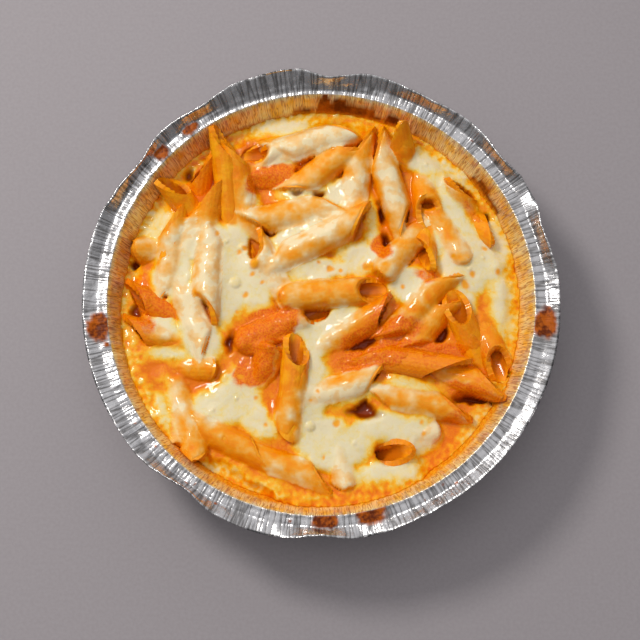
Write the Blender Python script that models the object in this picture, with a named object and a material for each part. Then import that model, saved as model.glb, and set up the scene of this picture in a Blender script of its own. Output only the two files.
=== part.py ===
"""Baked penne in a round foil tray: the tray, its sauce, the heap of penne and the melted cheese on top.

Metres, +Z up. The origin is at the centre of the tray's foot, on the surface that it stands on, and +Y is
the side that a diner would call the far one. Each named object is one closed body.
"""

from collections import namedtuple
from math import cos, pi, radians, sin

import bmesh
import bpy
import numpy as np
from mathutils import Vector, noise

MM = 0.001

# The foil tray
OPENING_R = 90 * MM  # inside the fold where the wall meets the rim
FOOT_R = 75 * MM  # outside, where the wall meets the base
RIM_Z = 42 * MM  # height of the fold
FOIL = 0.6 * MM  # wall, thicker than real foil so that it is a sound solid
FOOT_ROUND = 3 * MM
LEDGE = 5 * MM  # level inner part of the rim, where a lid lies
LIP = 5.8 * MM  # outer part of the rim, folded over the lid and then prised open
TRAY_SEGMENTS = 72

# How far the prised-open lip stands above level, in degrees, at places counted anticlockwise from +X.
LIP_BENDS = (
    (0, 26), (18, 63), (27, 15), (38, 63), (50, 39), (62, 61), (76, 42), (88, 77), (100, 8), (110, 28),
    (122, 63), (133, 42), (143, 80), (152, 59), (162, 24), (180, 20), (205, 18), (218, 30), (235, 72),
    (245, 39), (256, 15), (270, 59), (281, 21), (295, 42), (310, 39), (322, 30), (335, 15), (352, 8),
)

# The food
GAP = 0.35 * MM  # left between pieces that touch
SAUCE_Z = 28 * MM  # level of the sauce, which shows as a pool beside the heap
PENNE_R = 6.0 * MM
BORE_R = 4.2 * MM
CUT = radians(45)  # between a tube's axis and the normal of its slanting ends
BED_Z = 31.5 * MM  # mean height of what fills the gaps between the penne
BED_SWELL = 1.2 * MM
HEAP_TRIANGLES = 2850
CHEESE_THICKNESS = 1.6 * MM
CHEESE_SPREAD = 1.35  # how far the patches run together, as a share of their area

# Where the heap stops short of the wall: the middle of each gap, its half width and its depth.
HEAP_RECESSES = (
    (-47, 22, 22 * MM), (-85, 20, 3 * MM), (75, 38, 5 * MM), (130, 14, 3 * MM), (178, 16, 4 * MM), (215, 20, 3 * MM),
)

# One penne: the middles of its two cut ends, in millimetres, and the turn of its cuts about its axis.
# At roll 0 the head's cut faces up, at 180 the tail's does, at 90 the head's cut faces left of the axis.
Penne = namedtuple("Penne", "head tail roll")

PENNE = (
    # north-west: quills that stand up against the wall
    Penne((-49, 73, 40), (-41, 38, 30), -80),
    Penne((-40, 65, 34), (-33, 36, 29), -90),
    Penne((-53, 60, 36), (-57, 40, 24), 180),
    Penne((-65, 53, 38), (-57, 34, 19), -60),
    Penne((-63, 39, 35), (-68, 6, 31), 180),
    Penne((-76, 24, 32), (-62, 40, 20), 180),
    # west
    Penne((-77, 4, 32), (-48, -12, 24), 70),
    Penne((-78, -11, 32), (-48, -22, 24), 90),
    Penne((-50, -3, 34), (-48, 28, 33), -45),
    Penne((-57, 39, 31), (-59, 14, 27), 90),
    Penne((-49, -19, 31), (-58, 13, 31), 90),
    Penne((-56, -28, 31), (-70, -29, 17), 0),
    # south-west
    Penne((-56, -56, 33), (-65, -25, 27), 180),
    Penne((-62, -50, 30), (-72, -33, 25), 180),
    Penne((-9, -71, 33), (-42, -58, 32), 90),
    # north: rows that run up to the right
    Penne((-29, 67, 35), (8, 76, 35), 0),
    Penne((-2, 61, 30), (-34, 60, 29), 0),
    Penne((10, 66, 34), (-19, 49, 34), 0),
    Penne((6, 43, 32), (-27, 37, 33), 0),
    Penne((-25, 26, 33), (7, 38, 32), 10),
    Penne((17, 35, 35), (-18, 19, 32), -90),
    # north-east
    Penne((17, 72, 36), (14, 42, 31), 180),
    Penne((25, 70, 35), (34, 40, 34), 180),
    Penne((36, 75, 38), (41, 46, 28), 180),
    Penne((47, 39, 36), (43, 63, 27), 0),
    Penne((58, 24, 32), (50, 50, 30), 180),
    Penne((62, 52, 34), (70, 32, 21), 0),
    Penne((75, 30, 32), (64, 44, 16), 180),
    Penne((44, 21, 34), (46, 44, 20), -60),
    Penne((50, 42, 26), (29, 18, 32), 0),
    # centre
    Penne((24, 6, 35), (-10, 4, 33), 0),
    Penne((24, -8, 33), (-6, -22, 27), -90),
    Penne((-4, -6, 30), (-32, -20, 31), 0),
    Penne((-25, -26, 33), (-37, -50, 25), 180),
    Penne((-12, -18, 36), (-16, -53, 33), -20),
    # east
    Penne((55, -26, 35), (20, -24, 33), -90),
    Penne((53, 11, 32), (31, -12, 30), 90),
    Penne((58, -2, 36), (71, -26, 25), 5),
    Penne((75, -26, 33), (71, 4, 33), 10),
    Penne((73, -35, 33), (44, -29, 26), 90),
    # south and south-east
    Penne((57, -44, 31), (23, -40, 29), 90),
    Penne((23, -34, 32), (-8, -44, 28), -90),
    Penne((44, -55, 28), (10, -57, 28), 0),
    Penne((29, -63, 34), (8, -67, 12), 0),
    Penne((9, -71, 31), (5, -44, 27), 0),
)

CHEESE_SHEETS = ("melted_cheese_far", "melted_cheese_near", "melted_cheese_left")

# A patch of cheese: its middle and half sizes in millimetres, and the turn of its long side.
Patch = namedtuple("Patch", "x y half_length half_width turn")

CHEESE = (
    Patch(-56, 24, 19, 15, 90),
    Patch(-42, 12, 25, 13, 80),
    Patch(-66, 12, 12, 8, 70),
    Patch(-68, -11, 10, 7, 160),
    Patch(-52, -14, 13, 10, 110),
    Patch(-64, -23, 11, 5, 0),
    Patch(-39, -43, 17, 11, 10),
    Patch(-4, -40, 24, 9, 90),
    Patch(5, -62, 19, 10, 0),
    Patch(30, -53, 21, 9, 0),
    Patch(26, -69, 17, 6, 10),
    Patch(14, -37, 18, 7, 15),
    Patch(38, -37, 15, 5, 170),
    Patch(2, -7, 17, 7, 0),
    Patch(-5, -22, 12, 7, 90),
    Patch(2, 15, 20, 6, 5),
    Patch(19, 21, 12, 6, 0),
    Patch(38, 8, 10, 9, 0),
    Patch(-27, 12, 17, 9, 80),
    Patch(-6, 29, 23, 9, 22),
    Patch(-14, 43, 18, 5, 10),
    Patch(10, 49, 11, 8, 0),
    Patch(-9, 70, 27, 8, 17),
    Patch(-12, 62, 15, 5, 10),
    Patch(27, 56, 20, 7, 105),
    Patch(21, 33, 12, 4, 90),
    Patch(42, 61, 14, 8, 150),
    Patch(45, 52, 9, 7, 0),
    Patch(58, 40, 15, 6, 120),
    Patch(66, 22, 17, 15, 0),
    Patch(72, 6, 14, 9, 90),
    Patch(52, 26, 11, 5, 90),
    Patch(-35, 48, 9, 4, 90),
)


def smooth_step(share):
    """0 to 1 with level ends."""
    share = np.clip(share, 0, 1)
    return share * share * (3 - 2 * share)


def lip_bend(degrees):
    """The lip's angle above level at a place round the rim, in radians, eased between the stated ones."""
    places = [place for place, bend in LIP_BENDS] + [LIP_BENDS[0][0] + 360]
    bends = [bend for place, bend in LIP_BENDS] + [LIP_BENDS[0][1]]
    step = max(i for i, place in enumerate(places[:-1]) if place <= degrees % 360)
    share = (degrees % 360 - places[step]) / (places[step + 1] - places[step])
    return radians(bends[step] + (bends[step + 1] - bends[step]) * float(smooth_step(share)))


def tray_profile(degrees):
    """Radius and height of the tray's outer skin, from the base's edge to the lip's edge."""
    bend = lip_bend(degrees)
    ledge_r = OPENING_R + FOIL + LEDGE
    return (
        (FOOT_R - FOOT_ROUND, 0),
        (FOOT_R - 0.3 * FOOT_ROUND, 0.3 * FOOT_ROUND),
        (FOOT_R + 0.3 * FOOT_ROUND, FOOT_ROUND),
        (OPENING_R + FOIL, RIM_Z - FOIL),
        (ledge_r, RIM_Z - FOIL),
        (ledge_r + LIP * cos(bend), RIM_Z - FOIL + LIP * sin(bend)),
    )


def wall_radius(z):
    """Inside radius of the tray's wall at a height."""
    share = (z - FOOT_ROUND) / (RIM_Z - FOOT_ROUND)
    return FOOT_R + 0.3 * FOOT_ROUND + share * (OPENING_R - FOOT_R - 0.3 * FOOT_ROUND) - FOIL


def add_object(name, mesh, colour, roughness, metallic=0.0):
    """The mesh as a named object with its own material."""
    material = bpy.data.materials.new(name)
    material.use_nodes = True
    shader = material.node_tree.nodes["Principled BSDF"]
    shader.inputs["Base Color"].default_value = (*colour, 1)
    shader.inputs["Roughness"].default_value = roughness
    shader.inputs["Metallic"].default_value = metallic
    mesh.materials.append(material)
    made = bpy.data.objects.new(name, mesh)
    bpy.context.scene.collection.objects.link(made)
    return made


def mesh_of(bm, name):
    mesh = bpy.data.meshes.new(name)
    bm.to_mesh(mesh)
    bm.free()
    return mesh


def turned_rings(profile_at, segments):
    """A bmesh skin of one ring of points for each profile point, joined by quads, and the first ring's face."""
    bm = bmesh.new()
    angles = [360 * i / segments for i in range(segments)]
    columns = []
    for degrees in angles:
        turn = radians(degrees)
        column = [bm.verts.new((r * cos(turn), r * sin(turn), z)) for r, z in profile_at(degrees)]
        columns.append(column)
    for here, there in zip(columns, columns[1:] + columns[:1]):
        for low in range(len(here) - 1):
            bm.faces.new((here[low], there[low], there[low + 1], here[low + 1]))
    bm.faces.new([column[0] for column in reversed(columns)])
    return bm, columns


def make_tray():
    bm, _ = turned_rings(tray_profile, TRAY_SEGMENTS)
    bmesh.ops.recalc_face_normals(bm, faces=bm.faces)
    mesh = mesh_of(bm, "foil_tray")
    if mesh.polygons[len(mesh.polygons) - 1].normal.z > 0:
        mesh.flip_normals()
    tray = add_object("foil_tray", mesh, (0.75, 0.76, 0.78), 0.3, 1.0)
    solidify = tray.modifiers.new("foil", "SOLIDIFY")
    solidify.thickness = FOIL
    solidify.offset = -1
    solidify.use_even_offset = True
    return tray


def make_sauce():
    """Sauce up to its level, clear of the tray's base and wall by the gap."""
    floor = FOIL + GAP
    skin = GAP * 1.2

    def profile(_):
        return (
            (FOOT_R - FOOT_ROUND - 1 * MM, floor),
            (wall_radius(FOOT_ROUND + MM) - skin, FOOT_ROUND + MM),
            (wall_radius(SAUCE_Z) - skin, SAUCE_Z),
        )

    bm, columns = turned_rings(profile, TRAY_SEGMENTS)
    bm.faces.new([column[-1] for column in columns])
    bmesh.ops.recalc_face_normals(bm, faces=bm.faces)
    return add_object("tomato_cream_sauce", mesh_of(bm, "tomato_cream_sauce"), (0.82, 0.30, 0.04), 0.35)


def penne_top(x, y, penne):
    """Height of one tube's upper side over each point, or -1 where it isn't, with its open ends cut and bored."""
    head, tail = (np.array(end) * MM for end in (penne.head, penne.tail))
    axis = (head - tail) / np.linalg.norm(head - tail)
    up = np.array((0, 0, 1)) - axis[2] * axis
    up /= np.linalg.norm(up)
    side = np.cross(up, axis)
    roll = radians(penne.roll)
    cut = cos(CUT) * axis + sin(CUT) * (cos(roll) * up + sin(roll) * side)
    dx, dy = x - tail[0], y - tail[1]
    along = dx * axis[0] + dy * axis[1]
    flat = 1 - axis[2] ** 2

    def wall(radius, sign):
        """Height where the vertical through each point leaves (+) or enters (-) a cylinder on the axis."""
        inside = (along * axis[2]) ** 2 - flat * (dx**2 + dy**2 - along**2 - radius**2)
        return tail[2] + (along * axis[2] + sign * np.sqrt(np.maximum(inside, 0))) / flat, inside > 0

    top, hit = wall(PENNE_R, 1)
    bottom, _ = wall(PENNE_R, -1)
    bore_floor, in_bore = wall(BORE_R, -1)
    bore_roof, _ = wall(BORE_R, 1)
    height = top.copy()
    for end, outward in ((head, cut), (tail, -cut)):
        beyond = (x - end[0]) * outward[0] + (y - end[1]) * outward[1] + (height - end[2]) * outward[2] > 0
        if outward[2] > 0.05:
            face = end[2] - ((x - end[0]) * outward[0] + (y - end[1]) * outward[1]) / outward[2]
            bored = in_bore & (face < bore_roof) & (face > bore_floor)
            opened = np.where(bored, np.maximum(bore_floor, face - BORE_R), face)
            height = np.where(beyond, opened, height)
            hit &= ~beyond | (face > bottom)
        else:
            hit &= ~beyond
    return np.where(hit, height, -1)


def bed_height(x, y):
    """The uneven surface of cheese and sauce between the penne, lower towards the wall."""
    swell = np.array([noise.noise(Vector((px * 45, py * 45, 3.1))) for px, py in zip(x, y)])
    edge = np.hypot(x, y) / OPENING_R
    return BED_Z + BED_SWELL * swell - 2.5 * MM * edge**6


def heap_height(x, y):
    height = bed_height(x, y)
    for penne in PENNE:
        height = np.maximum(height, penne_top(x, y, penne))
    return height


def heap_radius(degrees):
    """The heap's outline in plan: close to the wall, apart from its recesses."""
    radius = wall_radius(SAUCE_Z) - 0.6 * MM
    for middle, half, depth in HEAP_RECESSES:
        off = abs((degrees - middle + 180) % 360 - 180)
        radius -= depth * float(smooth_step(1 - off / half))
    return radius


def disc_points(steps):
    """A square net of points stretched to a disc of radius 1, so that its cells stay about as large."""
    side = np.linspace(-1, 1, steps + 1)
    u, v = np.meshgrid(side, side)
    wide = np.abs(u) > np.abs(v)
    radius = np.where(wide, u, v)
    share = np.divide(np.where(wide, v, u), radius, out=np.zeros_like(u), where=radius != 0)
    turn = np.where(wide, share * pi / 4, pi / 2 - share * pi / 4)
    return (radius * np.cos(turn)).ravel(), (radius * np.sin(turn)).ravel()


def heap_skin(steps=112):
    """The heap's upper surface as a light mesh whose edges follow the penne."""
    unit_x, unit_y = disc_points(steps)
    degrees = np.degrees(np.arctan2(unit_y, unit_x))
    reach = np.array([heap_radius(d) for d in degrees])
    x, y = unit_x * reach, unit_y * reach
    z = heap_height(x, y).reshape(steps + 1, steps + 1)
    for _ in range(2):
        inner = z[1:-1, 1:-1]
        around = (z[:-2, 1:-1] + z[2:, 1:-1] + z[1:-1, :-2] + z[1:-1, 2:]) / 4
        z[1:-1, 1:-1] = 0.5 * inner + 0.5 * around
    row = steps + 1
    cells = [(i * row + j, i * row + j + 1, (i + 1) * row + j + 1, (i + 1) * row + j)
             for i in range(steps) for j in range(steps)]
    mesh = bpy.data.meshes.new("heap_skin")
    mesh.from_pydata(list(zip(x, y, z.ravel())), [], cells)
    skin = bpy.data.objects.new("heap_skin", mesh)
    bpy.context.scene.collection.objects.link(skin)
    thin = skin.modifiers.new("thin", "DECIMATE")
    thin.ratio = HEAP_TRIANGLES / (2 * steps * steps)
    thin.use_collapse_triangulate = True
    graph = bpy.context.evaluated_depsgraph_get()
    light = bpy.data.meshes.new_from_object(skin.evaluated_get(graph))
    bpy.data.objects.remove(skin)
    bm = bmesh.new()
    bm.from_mesh(light)
    bm.normal_update()
    for _ in range(30):
        folded = {v for f in bm.faces if f.normal.z < 0.15 for v in f.verts if not v.is_boundary}
        bmesh.ops.smooth_vert(bm, verts=list(folded), factor=0.5, use_axis_x=True, use_axis_y=True, use_axis_z=True)
        bm.normal_update()
    return bm


def make_heap(skin):
    """The skin closed by an upright side and a flat floor just above the sauce."""
    bm = skin.copy()
    edge = [e for e in bm.edges if e.is_boundary]
    drop = bmesh.ops.extrude_edge_only(bm, edges=edge)["geom"]
    floor_edges = [e for e in drop if isinstance(e, bmesh.types.BMEdge) and e.is_boundary]
    for vert in {v for e in floor_edges for v in e.verts}:
        vert.co.z = SAUCE_Z + GAP
    bmesh.ops.contextual_create(bm, geom=floor_edges)
    bmesh.ops.recalc_face_normals(bm, faces=bm.faces)
    return add_object("penne_heap", mesh_of(bm, "penne_heap"), (0.86, 0.42, 0.08), 0.4)


def in_patch(x, y, patch):
    """Below 1 inside the patch's outline."""
    turn = radians(patch.turn)
    dx, dy = x / MM - patch.x, y / MM - patch.y
    along, across = dx * cos(turn) + dy * sin(turn), dy * cos(turn) - dx * sin(turn)
    return (along / patch.half_length) ** 2 + (across / patch.half_width) ** 2


def has_cheese(face):
    """Whether a face of the heap is in a patch, and not so steep that cheese would slide off it."""
    x, y, _ = face.calc_center_median()
    return face.normal.z > 0.2 and min(in_patch(x, y, patch) for patch in CHEESE) < CHEESE_SPREAD


def islands(bm):
    """The groups of faces that hang together by their edges, the largest first."""
    left, found = set(bm.faces), []
    while left:
        island, edge = set(), {left.pop()}
        while edge:
            island |= edge
            edge = {f for face in edge for e in face.edges for f in e.link_faces} - island
            left -= edge
        found.append(island)
    return sorted(found, key=len, reverse=True)


def cheese_skins(skin):
    """The parts of the heap's skin that cheese covers, as one bmesh for each sheet."""
    bm = skin.copy()
    bmesh.ops.delete(bm, geom=[f for f in bm.faces if not has_cheese(f)], context="FACES")
    pinched = True
    while pinched:
        pinched = {f for v in bm.verts if sum(e.is_boundary for e in v.link_edges) > 2 for f in v.link_faces}
        bmesh.ops.delete(bm, geom=list(pinched), context="FACES")
    bm.faces.index_update()
    sheets = [{f.index for f in island} for island in islands(bm)[:len(CHEESE_SHEETS)]]
    for wanted in sheets:
        part = bm.copy()
        bmesh.ops.delete(part, geom=[f for f in part.faces if f.index not in wanted], context="FACES")
        yield part
    bm.free()


def make_cheese(bm, name):
    """A sheet that lies on the heap, thinnest at its edge, with holes where the penne stand bare."""
    for vert in bm.verts:
        vert.co.z += GAP
    low_verts = set(bm.verts)
    edge_verts = {v for v in bm.verts if v.is_boundary}
    rims = [e for e in bm.edges if e.is_boundary]
    low_faces = bm.faces[:]
    made = bmesh.ops.duplicate(bm, geom=bm.verts[:] + bm.edges[:] + low_faces)
    twin = {a: b for a, b in made["vert_map"].items() if a in low_verts}
    bmesh.ops.reverse_faces(bm, faces=low_faces)
    for low, high in twin.items():
        high.co.z += CHEESE_THICKNESS * (0.5 if low in edge_verts else 1)
    for rim in rims:
        a, b = rim.verts
        bm.faces.new((a, b, twin[b], twin[a]))
    bmesh.ops.recalc_face_normals(bm, faces=bm.faces)
    return add_object(name, mesh_of(bm, name), (0.90, 0.80, 0.52), 0.35)


def main():
    for old in list(bpy.data.objects):
        bpy.data.objects.remove(old)
    make_tray()
    make_sauce()
    skin = heap_skin()
    make_heap(skin)
    for name, sheet in zip(CHEESE_SHEETS, cheese_skins(skin)):
        make_cheese(sheet, name)
    skin.free()


main()
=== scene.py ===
"""Baked penne in a round foil tray.

Creased foil, ridged quills, and sauce and melted cheese that run over them. Lengths are in millimetres
up to the point where a mesh is made, and MM turns them into metres.
"""

from collections import namedtuple
from math import cos, pi, radians, sin

import bmesh
import bpy
import numpy as np
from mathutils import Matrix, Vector, noise


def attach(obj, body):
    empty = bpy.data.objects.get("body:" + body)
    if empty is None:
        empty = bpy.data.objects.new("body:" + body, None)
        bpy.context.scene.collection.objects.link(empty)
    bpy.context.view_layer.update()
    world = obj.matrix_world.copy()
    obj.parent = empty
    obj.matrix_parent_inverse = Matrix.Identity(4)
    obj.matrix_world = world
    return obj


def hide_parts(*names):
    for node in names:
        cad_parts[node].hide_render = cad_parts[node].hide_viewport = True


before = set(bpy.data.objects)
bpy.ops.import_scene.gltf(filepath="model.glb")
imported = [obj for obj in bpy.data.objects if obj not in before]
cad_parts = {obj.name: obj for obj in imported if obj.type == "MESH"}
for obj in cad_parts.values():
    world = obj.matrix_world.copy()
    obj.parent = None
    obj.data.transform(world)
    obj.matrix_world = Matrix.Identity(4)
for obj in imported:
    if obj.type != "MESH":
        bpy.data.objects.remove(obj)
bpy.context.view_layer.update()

MM = 0.001

# Foil tray
FOIL = 0.12
CAD_WALL = 0.6
OPENING_R = 90.0
RIM_Z = 42.0
FOOT_R = 75.0
FOOT_ROUND = 3.0
WALL_FOOT_R = FOOT_R + 0.9  # outer skin, where the wall leaves the foot's round
WALL_TOP_R = OPENING_R + CAD_WALL
LEDGE = 5.0
LEDGE_Z = RIM_Z - 0.1
HINGE_R = WALL_TOP_R + LEDGE  # the fold between the ledge and the lip
LIP = 5.8
HEM_R = 100.9
FAR_FOLD_R = WALL_TOP_R + 2.0  # on the far side the rim slopes up from here
FAR_RISE = 5.8
HUB_R = 4.0
AROUND = 1080  # points in one ring of the tray
LIP_BENDS = (
    (0, 26), (18, 63), (27, 15), (38, 63), (50, 39), (62, 61), (76, 42), (88, 77), (100, 8), (110, 28),
    (122, 63), (133, 42), (143, 80), (152, 59), (162, 24), (180, 20), (205, 18), (218, 30), (235, 72),
    (245, 39), (256, 15), (270, 59), (281, 21), (295, 42), (310, 39), (322, 30), (335, 15), (352, 8),
)

# Food
PENNE_R = 5.9
PENNE_WALL = 2.5
RIDGES = 20
RIDGE = 0.05
QUILL_RINGS = 30
RING_STEP = 3.0
QUILLS_IN_BACK = 23
CREASE_ANGLE = 35
MOUTH_DEPTH = 0.6  # the bore's darker colour, painted shade, starts this deep
WALL_GIVE = 1.5  # how near the wall a quill starts to be pressed flat
BED_Z = 31.8
POOL_Z = 28.6
FOOD_R = 85.7
MEET_R = 78.0  # from here outwards the food is stretched to meet the foil
SOUTH_GROWTH = 0.007  # share by which the food reaches further out at the south wall
NET_STEPS = 300
SOFT_ROUNDS = 10
LEVEL_ROUNDS = 220
HOLE_DEPTH = 5
FILM_MM = 1.1
CHEESE_MM = 0.9
BESIDE = -99.0  # height where a quill is not under a point
CORE_DROP = 24.0
CORE_R = 73.3
CORE_Z = 5.0

# One quill: the middles of its two cut ends and the turn of its cuts; how thick the film over it is, how
# well it stays clear of cheese, how red its sauce is, and the slant of its cuts.
Penne = namedtuple("Penne", "head tail roll film bare red slant", defaults=(50,))

PENNE = (
    # north-west: quills that stand up against the wall
    Penne((-42.5, 70, 40), (-39, 36, 28), -70, 0.12, 0.9, 0, 56),
    Penne((-38.8, 66, 37), (-31, 30, 27), -100, 0.3, 0.6, 0.15),
    Penne((-52, 60, 33), (-57, 34, 15), 90, 0.1, 1, 0.4, 62),
    Penne((-48.5, 45, 33), (-54, 16, 24), 120, 0.3, 0.5, 0.3, 62),
    Penne((-65, 51.5, 37), (-46, 27, 17), -60, 0, 1, 0.15),
    Penne((-64, 36, 32), (-68, 2, 28), 105, 0.3, 0.5, 0.1, 60),
    Penne((-77.5, 23.5, 30), (-50, 27, 16), 180, 0.5, 0.4, 0.2),
    # west
    Penne((-80, 3, 32), (-46, -13, 22), 70, 0.05, 0.9, 0.55),
    Penne((-80, -11.5, 31.5), (-44, -21, 24), 90, 0.1, 0.4, 0.4),
    Penne((-50, -3, 34), (-48, 28, 31), -55, 0.6, 0.35, 0.1),
    Penne((-57, 39, 30), (-59, 14, 26), 90, 0.7, 0, 0),
    Penne((-49.5, -18.5, 31), (-67, 20, 27), 90, 0.85, 0, 0),
    Penne((-50, -28, 29.5), (-71, -27, 24), 180, 0.35, 0.6, 0.2),
    # south-west
    Penne((-54, -60, 31), (-65, -25, 26), 180, 0.5, 0.4, 0.2, 55),
    Penne((-62, -53, 27.5), (-71, -35, 24), 180, 0.6, 0, 0.2),
    Penne((-26, -65, 31), (-52, -53, 31), 90, 0.38, 0.6, 0.05, 50),
    Penne((0, -75, 31), (-27, -66, 30), 90, 0.55, 0.4, 0.05, 50),
    # north: rows that run up to the right
    Penne((-29, 66, 33), (5, 72, 26), -20, 0.6, 0.2, 0.1),
    Penne((9, 75, 34.5), (-19, 66.5, 32.5), 120, 0.8, 0.1, 0.1),
    Penne((-6, 56, 30), (-34, 58, 29), 0, 0.3, 0.4, 0.95),
    Penne((12, 68, 34), (-11, 50.5, 32), 90, 0.5, 0.4, 0),
    Penne((6, 43, 31.5), (-30, 36, 32), 90, 0.6, 0.2, 0.2),
    Penne((-28.5, 26, 33), (-13, -1, 27), 60, 0.6, 0.2, 0.1),
    Penne((17, 36, 36), (-20, 18, 32), -90, 0.62, 0.3, 0.1),
    # north-east
    Penne((17, 70, 33.5), (13.5, 36, 29), 90, 0.55, 0.2, 0.2, 58),
    Penne((25, 68, 33.5), (36, 34, 30.5), 100, 0.6, 0.1, 0.15, 58),
    Penne((34, 72, 36), (43, 47, 13), 150, 0, 0.75, 0, 60),
    Penne((47, 39, 34), (43, 63, 24), 0, 0.5, 0.2, 0.15),
    Penne((58.5, 25, 30), (46, 48, 27), 180, 0.3, 0.6, 0, 55),
    Penne((61, 51, 31.5), (66, 36, 22), -90, 0.35, 0.6, 0.3),
    Penne((72, 33, 29), (56, 48, 15), 120, 0.1, 1, 0.2, 58),
    Penne((44, 21, 34), (46, 44, 20), -72, 0.12, 0.7, 0.05),
    Penne((50, 42, 24), (29, 16, 33), 0, 0.6, 0.2, 0.3),
    # centre
    Penne((22, 5.5, 34.5), (-10, 3, 33), 0, 0.5, 0.4, 0.25),
    Penne((26.5, -3.5, 33), (-6, -22, 26), -90, 0.35, 0.5, 0.6),
    Penne((-2, -3, 30), (-29, -15, 30.5), 0, 0.6, 0.4, 1),
    Penne((-22, -23, 32), (-31, -47, 20), 180, 0.6, 0.3, 1),
    Penne((-10.7, -20, 36), (-13.8, -52, 31), -25, 0.12, 0.2, 0),
    # east
    Penne((53.6, -28.4, 35), (20, -22.5, 29.5), -90, 0.05, 0.9, 0.4, 60),
    Penne((53, 11, 32), (31, -13, 30), 90, 0.36, 0.5, 0.1),
    Penne((54, 0, 30), (40, -17, 28), 90, 0.36, 0.5, 0.3),
    Penne((58, -2, 36), (70, -29, 25), 5, 0.08, 0.9, 0.1),
    Penne((76, -27, 33), (65, 2, 24), 10, 0.3, 0.6, 0.25),
    Penne((73.5, -36, 34), (46, -27, 25), 90, 0.33, 0.8, 0.3, 58),
    # south and south-east
    Penne((57, -44.5, 30.5), (24, -40, 29), 90, 0.5, 0.5, 0.4, 55),
    Penne((23, -32, 31.5), (-10, -42, 28), -90, 0.6, 0.1, 0.2),
    Penne((42, -55, 26.5), (10, -57, 26.5), 180, 0.9, 0, 0),
    Penne((29.8, -64, 32.5), (8, -66, 10), 0, 0.35, 1, 0.3, 56),
    Penne((9, -72, 28.5), (5, -46, 25), 180, 0.65, 0.1, 0.2),
)

# Something spread over the heap: its middle and half sizes, the turn of its long side, and its strength.
Patch = namedtuple("Patch", "x y half_length half_width turn strength", defaults=(1,))

CREAM = (
    # west
    Patch(-52, 27, 19, 9, 0),
    Patch(-64, 15, 15, 8, 80),
    Patch(-71, 33, 8, 5, 60, 0.7),
    Patch(-41, 14, 22, 12, 80),
    Patch(-55, 2, 10, 6, 70, 0.8),
    Patch(-69, -11, 8, 6, 160),
    Patch(-52, -15, 12, 8, 120),
    Patch(-64, -23, 9, 3.5, 0),
    Patch(-37, -38, 13, 7, 60),
    Patch(-40, -44, 14, 9, 10),
    Patch(-27, -50, 9, 6, 120),
    Patch(-62, -40, 12, 4, -60, 0.55),
    Patch(-67, -45, 10, 3, -60, 0.6),
    Patch(-30, -76, 24, 4, -14, 0.5),
    Patch(66, -52, 14, 4, 52, 0.3),
    # centre and south
    Patch(-3, -30, 12, 5, 90),
    Patch(-4, -48, 16, 6, 90),
    Patch(-15, -48, 8, 5, 80, 0.7),
    Patch(2, -9, 15, 6, 20),
    Patch(-3, -20, 7, 6, 90, 0.9),
    Patch(5, -60, 15, 11, 0),
    Patch(28, -53, 18, 6, 0),
    Patch(26, -72, 16, 5, 10),
    Patch(43, -58, 7, 7, 60),
    Patch(14, -39, 14, 4, 15, 0.7),
    Patch(38, -35, 12, 3, 170, 0.7),
    Patch(-27, 10, 13, 8, 80),
    # north
    Patch(3, 15, 18, 5, 5),
    Patch(18, 21, 10, 5, 0),
    Patch(38, 8, 9, 8, 30),
    Patch(-8, 31, 17, 5, 22),
    Patch(-8, 49, 10, 3, 10),
    Patch(8, 48, 8, 6, 0),
    Patch(-15, 68, 18, 6, 20),
    Patch(-16, 79, 12, 4, 5),
    Patch(4, 72, 10, 3.5, 15),
    Patch(-32, 45, 7, 4, 100, 0.9),
    # north-east
    Patch(30, 50, 13, 4, 105, 0.7),
    Patch(17, 55, 10, 3, 100, 0.5),
    Patch(22, 34, 10, 2.5, 95, 0.8),
    Patch(42, 64, 13, 5, 150),
    Patch(52, 53, 9, 4, 130, 0.8),
    Patch(59, 38, 15, 4.5, 122),
    Patch(65, 18, 14, 12, 0),
    Patch(77, 2, 16, 4, 95, 0.9),
    Patch(75, 25, 11, 5, 110, 0.8),
    Patch(57, 57, 11, 4, 135, 0.7),
    Patch(50, 27, 9, 4, 100, 0.8),
    Patch(61, 4, 7, 4, 120, 0.8),
)
RED_SAUCE = (
    Patch(-24, 54, 10, 5, 30),
    Patch(-31, 69, 8, 4, 110, 0.7),
    Patch(26, 25, 6, 4, 110),
    Patch(-24, -10, 15, 8, 25),
    Patch(-29, -26, 12, 7, 60),
    Patch(26, -14, 18, 6, 22),
    Patch(20, -25, 14, 4.5, 5),
    Patch(44, -20, 18, 4, -3),
    Patch(-76, -3, 12, 5, 100, 0.6),
    Patch(45, 12, 6, 4, -30, 0.7),
    Patch(60, -55, 18, 10, 40, 0.5),
    Patch(68, -40, 16, 4, -15),
    Patch(68, -22, 14, 6, 115, 0.4),
    Patch(66, 40, 8, 3, -50, 0.5),
)
ORANGE_SAUCE = (
    Patch(-74, -30, 9, 3, -60, 0.5),
    Patch(-60, -28, 16, 5, 5, 0.6),
    Patch(-20, -80, 30, 7, -5, 0.6),
    Patch(20, -80, 30, 6, 6, 0.5),
    Patch(50, -66, 14, 6, 50, 0.7),
    Patch(-47, 45, 12, 7, 100),
    Patch(40, 33, 8, 8, 0),
    Patch(20, 8, 7, 4, 0),
    Patch(-38, -33, 10, 2, 20),
    Patch(-21, -47, 8, 2, 60),
    Patch(18, -33, 6, 2, 10),
    Patch(12, -52, 9, 2, 30),
)
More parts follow.
